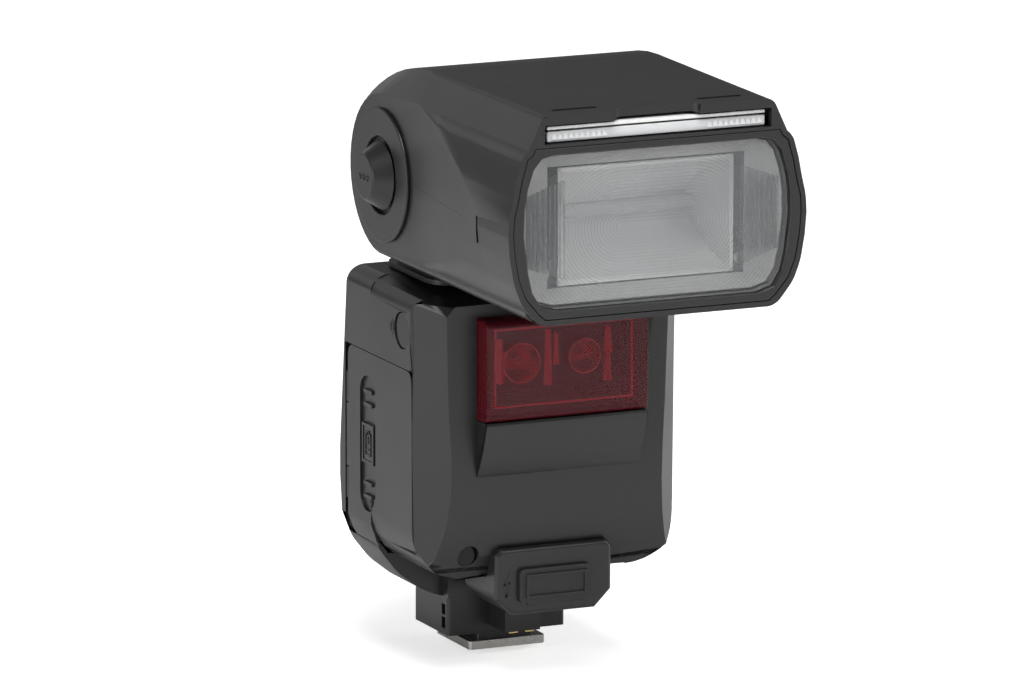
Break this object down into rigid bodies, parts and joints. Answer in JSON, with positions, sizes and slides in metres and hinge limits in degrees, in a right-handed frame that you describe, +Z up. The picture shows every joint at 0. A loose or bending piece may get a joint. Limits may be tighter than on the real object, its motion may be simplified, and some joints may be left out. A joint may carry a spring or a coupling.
{
  "type": "speedlight flash",
  "caption": "Shoe-mount speedlight flash with a swivelling, tilting zoom head, red focus-lamp window, side battery door and metal foot.",
  "frame": {"origin": "centre of the flat bottom face of the hot-shoe foot", "axes": "+Z up, the lamp faces -Y at rest, +X to the right when looking at the back of the subject side (along +Y)"},
  "size_m": [0.0712, 0.1035, 0.1375],
  "materials": {
    "black_plastic": "fine satin texture",
    "control_plastic": "satin",
    "rubber": "matte",
    "red_window": "glossy deep red",
    "sensor_window": "glossy",
    "foot_metal": "satin",
    "gilt": "polished",
    "steel": "satin",
    "clear_plastic": "clear",
    "white_card": "matte",
    "reflector_metal": "bright",
    "tube_glass": "clear",
    "inner_plastic": "matte",
    "board": "solder mask",
    "cell_wrap": "printed sleeve",
    "capacitor_wrap": "sleeve",
    "lcd": "glossy",
    "lamp_lens": "translucent"
  },
  "bodies": {
    "body": {"af_lamps": "board", "af_window": "red_window", "battery_cells": "cell_wrap", "battery_holder": "inner_plastic", "battery_terminals": "steel", "case_screws": "steel", "control_panel": "control_plastic", "foot_block": "black_plastic", "foot_plate": "foot_metal", "foot_screws": "steel", "front_sensor": "sensor_window", "front_shell": "black_plastic", "lcd_module": "lcd", "lcd_window": "clear_plastic", "main_board": "board", "main_capacitor": "capacitor_wrap", "power_board": "board", "ready_lamp": "lamp_lens", "rear_shell": "black_plastic", "side_contacts": "gilt", "side_sensor_window": "sensor_window", "swivel_bearing": "steel", "terminal_board": "inner_plastic", "terminal_housing": "black_plastic", "terminal_socket": "inner_plastic"},
    "head": {"head_upper_shell": "black_plastic", "head_lower_shell": "black_plastic", "lens_frame": "black_plastic", "fresnel_lens": "clear_plastic", "panel_guide": "inner_plastic", "hinge_cap_left": "black_plastic", "hinge_cap_right": "black_plastic", "guide_rods": "steel", "rod_mounts": "inner_plastic", "zoom_motor": "capacitor_wrap", "trigger_board": "board"},
    "wide_panel": {"wide_panel": "clear_plastic"},
    "bounce_card": {"bounce_card": "white_card"},
    "lamp_carriage": {"lamp_carriage": "inner_plastic", "reflector": "reflector_metal", "flash_tube": "tube_glass"},
    "lead_screw": {"lead_screw": "steel"},
    "release_button": {"release_button": "control_plastic"},
    "swivel": {"neck": "black_plastic", "swivel_retainer": "steel"},
    "door_slide": {"door_hinge": "steel"},
    "battery_door": {"battery_door": "black_plastic"},
    "terminal_cap": {"terminal_cap": "rubber"},
    "lock_lever": {"lock_lever": "control_plastic"},
    "lock_pin": {"lock_pin": "steel"},
    "contact_pins": {"contact_pins": "gilt"},
    "soft_key_1": {"soft_key_1": "control_plastic"},
    "soft_key_2": {"soft_key_2": "control_plastic"},
    "soft_key_3": {"soft_key_3": "control_plastic"},
    "test_button": {"test_button": "control_plastic"},
    "selector_dial": {"selector_dial": "control_plastic"},
    "confirm_key": {"confirm_key": "control_plastic"},
    "sync_cover": {"sync_cover": "control_plastic"}
  },
  "joints": [
    {"name": "head_swivel", "type": "hinge", "parent": "body", "child": "swivel", "pos_m": [0, -0.0093, 0.0872], "axis": [0, 0, 1], "range_deg": [-180, 180]},
    {"name": "head_tilt", "type": "hinge", "parent": "swivel", "child": "head", "pos_m": [0, -0.0093, 0.1106], "axis": [-1, 0, 0], "range_deg": [-7, 90]},
    {"name": "wide_panel_pull", "type": "slide", "parent": "head", "child": "wide_panel", "axis": [0, -1, 0], "range_m": [0, 0.024]},
    {"name": "bounce_card_pull", "type": "slide", "parent": "head", "child": "bounce_card", "axis": [0, -1, 0], "range_m": [0, 0.034]},
    {"name": "zoom", "type": "slide", "parent": "head", "child": "lamp_carriage", "axis": [0, -1, 0], "range_m": [-0.016, 0.002]},
    {"name": "zoom_screw", "type": "hinge", "parent": "head", "child": "lead_screw", "pos_m": [-0.01, -0.05, 0.0963], "axis": [0, -1, 0], "range_deg": [-1920, 240]},
    {"name": "release_push", "type": "slide", "parent": "head", "child": "release_button", "axis": [1, 0, 0], "range_m": [0, 0.0012], "stiffness_N_per_m": 600, "springref_m": -0.0008},
    {"name": "door_unlatch", "type": "slide", "parent": "body", "child": "door_slide", "axis": [0, 0, -1], "range_m": [0, 0.004]},
    {"name": "door_swing", "type": "hinge", "parent": "door_slide", "child": "battery_door", "pos_m": [-0.0311, 0.0077, 0.045], "axis": [0, 0, -1], "range_deg": [0, 100]},
    {"name": "terminal_cap_open", "type": "hinge", "parent": "body", "child": "terminal_cap", "pos_m": [0, -0.03502, 0.0163], "axis": [1, 0, 0], "range_deg": [0, 80]},
    {"name": "foot_lever", "type": "hinge", "parent": "body", "child": "lock_lever", "pos_m": [0, 0, 0.0068], "axis": [0, 0, -1], "range_deg": [0, 26]},
    {"name": "pin_drop", "type": "slide", "parent": "body", "child": "lock_pin", "axis": [0, 0, -1], "range_m": [0, 0.0013]},
    {"name": "contacts_press", "type": "slide", "parent": "body", "child": "contact_pins", "axis": [0, 0, 1], "range_m": [0, 0.00045], "stiffness_N_per_m": 300, "springref_m": -0.0003},
    {"name": "soft_key_1_press", "type": "slide", "parent": "body", "child": "soft_key_1", "axis": [0, -1, 0], "range_m": [0, 0.0005], "stiffness_N_per_m": 400, "springref_m": -0.0005},
    {"name": "soft_key_2_press", "type": "slide", "parent": "body", "child": "soft_key_2", "axis": [0, -1, 0], "range_m": [0, 0.0005], "stiffness_N_per_m": 400, "springref_m": -0.0005},
    {"name": "soft_key_3_press", "type": "slide", "parent": "body", "child": "soft_key_3", "axis": [0, -1, 0], "range_m": [0, 0.0005], "stiffness_N_per_m": 400, "springref_m": -0.0005},
    {"name": "test_press", "type": "slide", "parent": "body", "child": "test_button", "axis": [0, -1, 0], "range_m": [0, 0.0005], "stiffness_N_per_m": 400, "springref_m": -0.0005},
    {"name": "confirm_press", "type": "slide", "parent": "body", "child": "confirm_key", "axis": [0, -1, 0], "range_m": [0, 0.0005], "stiffness_N_per_m": 400, "springref_m": -0.0005},
    {"name": "dial_turn", "type": "hinge", "parent": "body", "child": "selector_dial", "pos_m": [0, 0.013, 0.0355], "axis": [0, 1, 0], "continuous": true},
    {"name": "sync_cover_pull", "type": "slide", "parent": "body", "child": "sync_cover", "axis": [1, 0, 0], "range_m": [0, 0.006]}
  ],
  "couplings": [
    {"joint": "zoom_screw", "follows": "zoom", "rad_per_m": 2094.4},
    {"joint": "pin_drop", "follows": "foot_lever", "m_per_rad": 0.002865}
  ]
}
